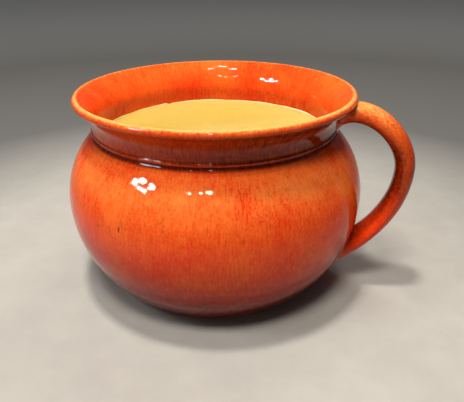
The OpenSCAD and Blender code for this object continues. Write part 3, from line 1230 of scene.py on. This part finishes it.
@dataclass
class PulledHandle:
    """The pulled strap handle under its glaze, with the slip that blends its ends into the pot.

    Its middle line is two Bezier curves that meet at the outermost point. An oval section is
    carried along them, and close to the pot each point is pushed out along the wall so that the
    handle runs into it on a rounded hollow. A station is 0 at the upper end, 1 at the outermost
    point and 2 at the lower end. Pairs that end in side are cosines of the angle from the outer
    face, or from the inner one for the inner and shade pairs.
    """

    form: PotForm
    reach: float = 0.0342
    mid_z: float = 0.0927
    drop: float = 0.0165
    low_z: float = 0.022
    rise: float = 40.0
    fall: float = 30.0
    top_pull: float = 0.5
    mid_rise: float = 0.74
    mid_drop: float = 0.565
    low_pull: float = 0.19
    top_t: float = 0.0136
    top_w: float = 0.0158
    low_t: float = 0.0112
    low_w: float = 0.0288
    top_blend: float = 0.0012
    under_blend: float = 0.0045
    under_edge: Pair = (0.1, 0.7)
    low_blend: float = 0.0065
    sink: float = 0.00015
    columns: int = 80
    rows: int = 180
    crowding: float = 0.6
    tries: int = 600
    top_search: Pair = (0.8, -0.8)
    low_search: Pair = (1.2, 3.0)
    crest_side: Pair = (-0.3, 0.8)
    warm_fade: Pair = (0.40, 0.85)
    thin_most: float = 0.56
    thin_fade: Pair = (0.30, 0.75)
    thin_gap: Pair = (0.0003, 0.002)
    joint_most: float = 0.7
    joint_gap: float = 0.0025
    inner_side: Pair = (0.30, 0.85)
    inner_rise: Pair = (-0.1, 0.3)
    inner_fade: Pair = (1.1, 1.5)
    inner_share: Pair = (0.95, 0.60)
    shade_side: Pair = (-0.4, 0.6)
    shade_share: Pair = (0.50, 0.82)
    bow_rise: Pair = (0.40, 0.80)
    bow_fade: Pair = (1.05, 1.45)
    heel_most: float = 0.62
    heel_rise: Pair = (1.45, 2.05)
    flow_r: float = 0.012
    flow_pull: float = 0.3

    def __post_init__(self) -> None:
        """Works out the curves from the sizes."""
        form = self.form
        top = np.array([form.neck_mid, form.height - self.drop])
        mid = np.array([form.belly_d / 2 + self.reach - (self.top_t + self.low_t) / 4, self.mid_z])
        across = np.sqrt(form.low_r ** 2 - (form.belly_z - self.low_z) ** 2)
        low = np.array([form.low_c[0] + across - form.wall / 2, self.low_z])
        rise, fall = np.radians([self.rise, self.fall])
        self.top_dir = np.array([np.cos(rise), np.sin(rise)])
        self.low_dir = np.array([np.cos(fall), np.sin(fall)])
        leave = top + self.top_pull * (mid[0] - top[0]) * self.top_dir
        above = mid + np.array([0.0, self.mid_rise * (top[1] - mid[1])])
        below = mid - np.array([0.0, self.mid_drop * (mid[1] - low[1])])
        arrive = low + self.low_pull * (mid[0] - low[0]) * self.low_dir
        self.upper = np.stack([top, leave, above, mid])
        self.lower = np.stack([mid, below, arrive, low])
        self.buried = self.top_t + form.wall

    def middle(self, station: Array) -> tuple[Array, Array]:
        """Place and direction on the middle line, which goes straight on beyond its ends.

        Args:
            station: Place along the handle.

        Returns:
            Points and unit directions, as distance from the axis and height.
        """
        t = np.clip(np.where(station < 1.0, station, station - 1.0), 0.0, 1.0)[..., None]
        curve = np.where((station < 1.0)[..., None, None], self.upper, self.lower)
        p0, p1, p2, p3 = np.moveaxis(curve, -2, 0)
        u = 1.0 - t
        point = u ** 3 * p0 + 3 * u * u * t * p1 + 3 * u * t * t * p2 + t ** 3 * p3
        slope = u * u * (p1 - p0) + 2 * u * t * (p2 - p1) + t * t * (p3 - p2)
        before, after = np.minimum(station, 0.0)[..., None], np.maximum(station - 2.0, 0.0)[..., None]
        point = point + before * self.buried * self.top_dir - after * self.buried * self.low_dir
        return point, unit(slope)

    def strap(self, station: Array, around: Array) -> tuple[Array, Array]:
        """Oval section carried along the middle line, grown by the glaze.

        The point is middle + t cos(a) across the line + w sin(a) along Y.

        Args:
            station: Place along the handle.
            around: Angle a round the section, 0 on the outer face.

        Returns:
            Points on the strap, and the points of the middle line beside them.
        """
        point, heading = self.middle(station)
        share = np.clip(station / 2.0, 0.0, 1.0)
        t = blend((self.top_t, self.low_t), share) / 2 + self.form.glaze_t
        w = blend((self.top_w, self.low_w), share) / 2 + self.form.glaze_t
        x = point[..., 0] - heading[..., 1] * t * np.cos(around)
        z = point[..., 1] + heading[..., 0] * t * np.cos(around)
        y = w * np.sin(around)
        axis = np.stack([point[..., 0], 0.0 * y, point[..., 1]], axis=-1)
        return np.stack([x, y, z], axis=-1), axis

    def ends(self, around: Array) -> list[Array]:
        """Stations at which each line along the strap meets the pot, above and below.

        Args:
            around: Angle of each line round the section.

        Returns:
            The upper and the lower station of each line.
        """
        tries = np.linspace(0.0, 1.0, self.tries)[:, None] + 0.0 * around
        columns = np.arange(len(around))
        found = []
        for search in (self.top_search, self.low_search):
            stations = blend(search, tries)
            gap = self.form.gap(self.strap(stations, around + 0.0 * tries)[0])
            first = np.argmax(gap <= 0.0, axis=0)
            g0, g1 = gap[first - 1, columns], gap[first, columns]
            s0, s1 = stations[first - 1, columns], stations[first, columns]
            found.append(s0 + (s1 - s0) * g0 / (g0 - g1))
        return found

    def blended(self, points: Array, axis: Array, reach: Array) -> Array:
        """Runs the strap into the pot: points nearer than reach are pushed out along the wall.

        At a distance d the push is reach - sqrt(reach^2 - (reach - d)^2), a quarter circle, and the
        toe sinks a little into the glaze.

        Args:
            points: Points on the strap.
            axis: Points of its middle line.
            reach: Radius of the hollow at each point.

        Returns:
            The blended points.
        """
        form = self.form
        gap = form.gap(points)
        normal = form.outward(points)
        away = points - axis
        away = unit(away - (away * normal).sum(-1, keepdims=True) * normal)
        near = np.clip(gap / reach, 0.0, 1.0)
        push = reach * (1.0 - quarter(near))
        moved = points + push[..., None] * away
        wanted = gap - self.sink * (1.0 - near) ** 2
        lift = np.where(gap < reach, wanted - form.gap(moved), 0.0)
        return moved + lift[..., None] * form.outward(moved)

    def build(self) -> Piece:
        """Trims the strap to the pot, blends its ends and skins it, with rows closer at the ends.

        Returns:
            The handle's object, with its glaze marked.
        """
        around = 2 * np.pi * np.arange(self.columns) / self.columns
        top, low = self.ends(around)
        u = np.linspace(0.0, 1.0, self.rows)
        eased = blend((u, ramp(0.0, 1.0, u)), self.crowding)
        share = 0.5 * (eased + 0.5 * (1.0 - np.cos(np.pi * u)))
        station = blend((top, low), share[:, None])
        points, axis = self.strap(station, around + 0.0 * station)
        under = ramp(*self.under_edge, 0.5 - 0.5 * np.cos(around))
        upper_reach = blend((self.top_blend, self.under_blend), under)
        reach = np.where(station < 1.0, upper_reach, self.low_blend)
        grid = self.blended(points, axis, reach)[:, ::-1]
        piece = skin("handle_coat", grid, caps=True)
        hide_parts("handle_glaze", "upper_luting", "lower_luting")
        self.marks(piece, grid, station[:, ::-1], around[::-1])
        return piece

    def marks(self, piece: Piece, grid: Array, station: Array, around: Array) -> None:
        """Writes the glaze's attributes: warm and thin on the lit top, partly painted light, pooled glaze
        at the pot, and painted shade inside, on the bow and at the lower end.

        Args:
            piece: The handle's object.
            grid: Its points.
            station: Place of each point along the handle.
            around: Angle of each column round the section.
        """
        gap = self.form.gap(grid)
        # Painted light in part: the upper outer face, lit from above, is warm and thin.
        crest = ramp(*self.crest_side, np.cos(around))
        mark(piece, Mark.LIT_WARMTH, crest * (1.0 - ramp(*self.warm_fade, station)))
        thin = self.thin_most * crest * (1.0 - ramp(*self.thin_fade, station))
        mark(piece, Mark.THIN_AND_LIT, thin * ramp(*self.thin_gap, gap))
        joint = self.joint_most * (1.0 - ramp(0.0, self.joint_gap, gap))
        # Painted shade on the inner face, which the lamps don't reach.
        inner = ramp(*self.inner_side, -np.cos(around)) * ramp(*self.inner_rise, station)
        inner = inner * blend(self.inner_share, ramp(*self.inner_fade, station))
        # Painted shade over the bow, deeper towards the inner face.
        shade = blend(self.shade_share, ramp(*self.shade_side, -np.cos(around)))
        bow = shade * ramp(*self.bow_rise, station) * (1.0 - ramp(*self.bow_fade, station))
        # Painted shadow on the lower end, under the belly.
        heel = self.heel_most * ramp(*self.heel_rise, station)
        mark(piece, Mark.POOL_AND_SHADE, np.max([joint, heel, inner, bow], axis=0))
        mark(piece, Mark.FLOW, flow_along(around, self.flow_r, self.flow_pull * lengths(grid)))

    def dress(self, piece: Piece, finish: Material, core: Material) -> None:
        """Gives the handle its glaze, and the clay strap under it its clay."""
        attach(piece, finish)
        paint(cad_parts["handle"], core)


@dataclass(frozen=True)
class Shot:
    """Where the picture was taken from: lengths in metres, angles in degrees."""

    height: float = 0.23024
    distance: float = 0.35633
    swing: float = 15.0
    pitch: float = 26.33
    yaw: float = 1.94
    roll: float = -0.36
    focal_px: float = 510.0
    sensor: float = 36.0

    def matrix(self) -> Matrix:
        """The camera's place: swung round the axis from -Y, looking down by pitch and aside by yaw.

        Returns:
            The camera's matrix in the frame.
        """
        pitch, yaw, roll = np.radians([self.pitch, self.yaw, self.roll])
        ahead = np.array([np.sin(yaw) * np.cos(pitch), np.cos(yaw) * np.cos(pitch), -np.sin(pitch)])
        right = np.array([np.cos(yaw), -np.sin(yaw), 0.0])
        up = np.cross(right, ahead)
        axes = np.eye(4)
        axes[:3, 0] = np.cos(roll) * right + np.sin(roll) * up
        axes[:3, 1] = np.cos(roll) * up - np.sin(roll) * right
        axes[:3, 2] = -ahead
        axes[:3, 3] = (0.0, -self.distance, self.height)
        return Matrix.Rotation(np.radians(self.swing), 4, "Z") @ Matrix(axes.tolist())


@dataclass(frozen=True)
class Lamp:
    """An area lamp round the pot, at angles in degrees from +X and above the horizon.

    Its level is how bright it leaves a white surface that faces it.
    """

    name: str
    azimuth: float
    elevation: float
    size: Pair
    level: float
    colour: Triple
    shows: Shows
    away: float = 1.3

    def hang(self, aim: Triple) -> None:
        """Hangs the lamp, turned towards a point.

        A lamp of power pi^2 away^2 lights a white surface that faces it to a level of 1.

        Args:
            aim: The point that it is turned towards.
        """
        data = bpy.data.lights.new(self.name, "AREA")
        data.shape = "RECTANGLE"
        data.size, data.size_y = self.size
        data.energy = self.level * (np.pi * self.away) ** 2
        data.color = self.colour
        a, e = np.radians([self.azimuth, self.elevation])
        back = Vector((np.cos(a) * np.cos(e), np.sin(a) * np.cos(e), np.sin(e)))
        made = add(self.name, data)
        made.location = Vector(aim) + self.away * back
        made.rotation_mode = "QUATERNION"
        made.rotation_quaternion = (-back).to_track_quat("-Z", "Y")
        made.visible_diffuse = self.shows is Shows.LIGHT
        made.visible_glossy = self.shows is Shows.GLEAM


@dataclass(frozen=True)
class Studio:
    """Floor, lamps, surroundings and camera.

    Panes are given by azimuth, elevation, width and height, and their level by the square metre.
    """

    floor_half: float = 40.0
    aim: Triple = (0.0, 0.0, 0.08)
    soft: tuple[Lamp, ...] = (
        Lamp("overhead", -125.0, 82.0, (0.14, 0.14), 0.76, (1.0, 0.97, 0.92), Shows.LIGHT),
        Lamp("front_soft", -86.0, 63.0, (0.4, 0.3), 0.66, (1.0, 0.97, 0.93), Shows.LIGHT, 1.5),
        Lamp("window_soft", -145.0, 45.0, (0.3, 0.3), 0.20, (0.97, 0.98, 1.0), Shows.LIGHT, 1.5),
        Lamp("back_soft", 70.0, 60.0, (0.5, 0.5), 0.26, (1.0, 0.97, 0.93), Shows.LIGHT, 1.5),
    )
    panes: tuple[tuple[float, float, float, float], ...] = (
        (-149.0, 35.5, 0.07, 0.09), (-144.5, 40.0, 0.10, 0.07),
        (-139.5, 32.5, 0.18, 0.11), (-133.0, 39.0, 0.09, 0.11),
    )
    pane_level: float = 25.0
    pane_colour: Triple = (0.93, 0.96, 1.0)
    bulbs: tuple[Pair, ...] = ((-99.0, 44.0), (-89.0, 45.0), (-80.5, 46.0))
    bulb_size: Pair = (0.055, 0.055)
    bulb_level: float = 0.094
    bulb_colour: Triple = (1.0, 0.86, 0.6)
    ceiling: tuple[Pair, ...] = ((-65.0, 75.0), (-114.0, 74.0), (-120.0, 86.0))
    ceiling_size: Pair = (0.08, 0.08)
    ceiling_level: float = 0.112
    ceiling_colour: Triple = (1.0, 1.0, 1.0)
    air: Triple = (0.97, 0.98, 1.0)
    air_level: float = 0.07

    def floor(self, finish: Material) -> None:
        """Lays a plain square floor under the pot.

        Args:
            finish: The floor's material.
        """
        corners = self.floor_half * np.array([[-1, -1, 0], [1, -1, 0], [1, 1, 0], [-1, 1, 0]], float)
        mesh = bpy.data.meshes.new("floor")
        mesh.from_pydata(corners.tolist(), [], [[0, 1, 2, 3]])
        made = add("floor", mesh)
        paint(made, finish)

    def gleams(self) -> list[Lamp]:
        """Small lamps that only gleam in the glaze: a window's panes, three bulbs and three ceiling lights.

        Returns:
            The lamps, in order.
        """
        panes = [Lamp(f"pane_{k}", azimuth, elevation, (wide, tall), self.pane_level * wide * tall,
                      self.pane_colour, Shows.GLEAM)
                 for k, (azimuth, elevation, wide, tall) in enumerate(self.panes)]
        bulbs = [Lamp(f"bulb_{k}", *where, self.bulb_size, self.bulb_level, self.bulb_colour, Shows.GLEAM)
                 for k, where in enumerate(self.bulbs)]
        ceiling = [Lamp(f"ceiling_{k}", *where, self.ceiling_size, self.ceiling_level,
                        self.ceiling_colour, Shows.GLEAM)
                   for k, where in enumerate(self.ceiling)]
        return panes + bulbs + ceiling

    def lamps(self) -> None:
        """Hangs the overhead, front, window and back lamps that light the pot, and then the gleams."""
        for lamp in (*self.soft, *self.gleams()):
            lamp.hang(self.aim)

    def surroundings(self) -> None:
        """Sets a dim even light all round."""
        world = bpy.data.worlds.new("surroundings")
        bpy.context.scene.world = world
        world.use_nodes = True
        sky = world.node_tree.nodes["Background"]
        sky.inputs["Color"].default_value = (*self.air, 1.0)
        sky.inputs["Strength"].default_value = self.air_level

    def camera(self, shot: Shot) -> None:
        """Sets the camera where the picture was taken from.

        Args:
            shot: The picture's place, direction and focal length.
        """
        data = bpy.data.cameras.new("camera")
        data.sensor_fit = "HORIZONTAL"
        data.sensor_width = shot.sensor
        data.lens = shot.sensor * shot.focal_px / PHOTO_WIDTH_PX
        made = add("camera", data)
        made.matrix_world = shot.matrix()
        bpy.context.scene.camera = made


def main() -> None:
    """Builds the pieces in order, dresses them and sets up the studio."""
    logging.basicConfig(level=logging.INFO, format="%(name)s: %(message)s")
    bpy.context.scene.view_settings.view_transform = "Standard"
    low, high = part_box("clay_body")
    form = PotForm(belly_d=high.x - low.x, height=high.z)
    clay = BareClay().material()
    orange = OrangeGlaze().material()
    yellow = YellowGlaze().material()

    body = ThrownBody(form)
    body.dress(body.build(), clay)
    coat = OrangeCoat(form)
    coat.dress(coat.build(), orange)
    lining = YellowLining(form)
    lining.dress(lining.build(), yellow)
    handle = PulledHandle(form)
    handle.dress(handle.build(), orange, clay)

    studio = Studio()
    studio.floor(StudioFloor().material())
    studio.lamps()
    studio.surroundings()
    studio.camera(Shot())


if __name__ == "__main__":
    main()
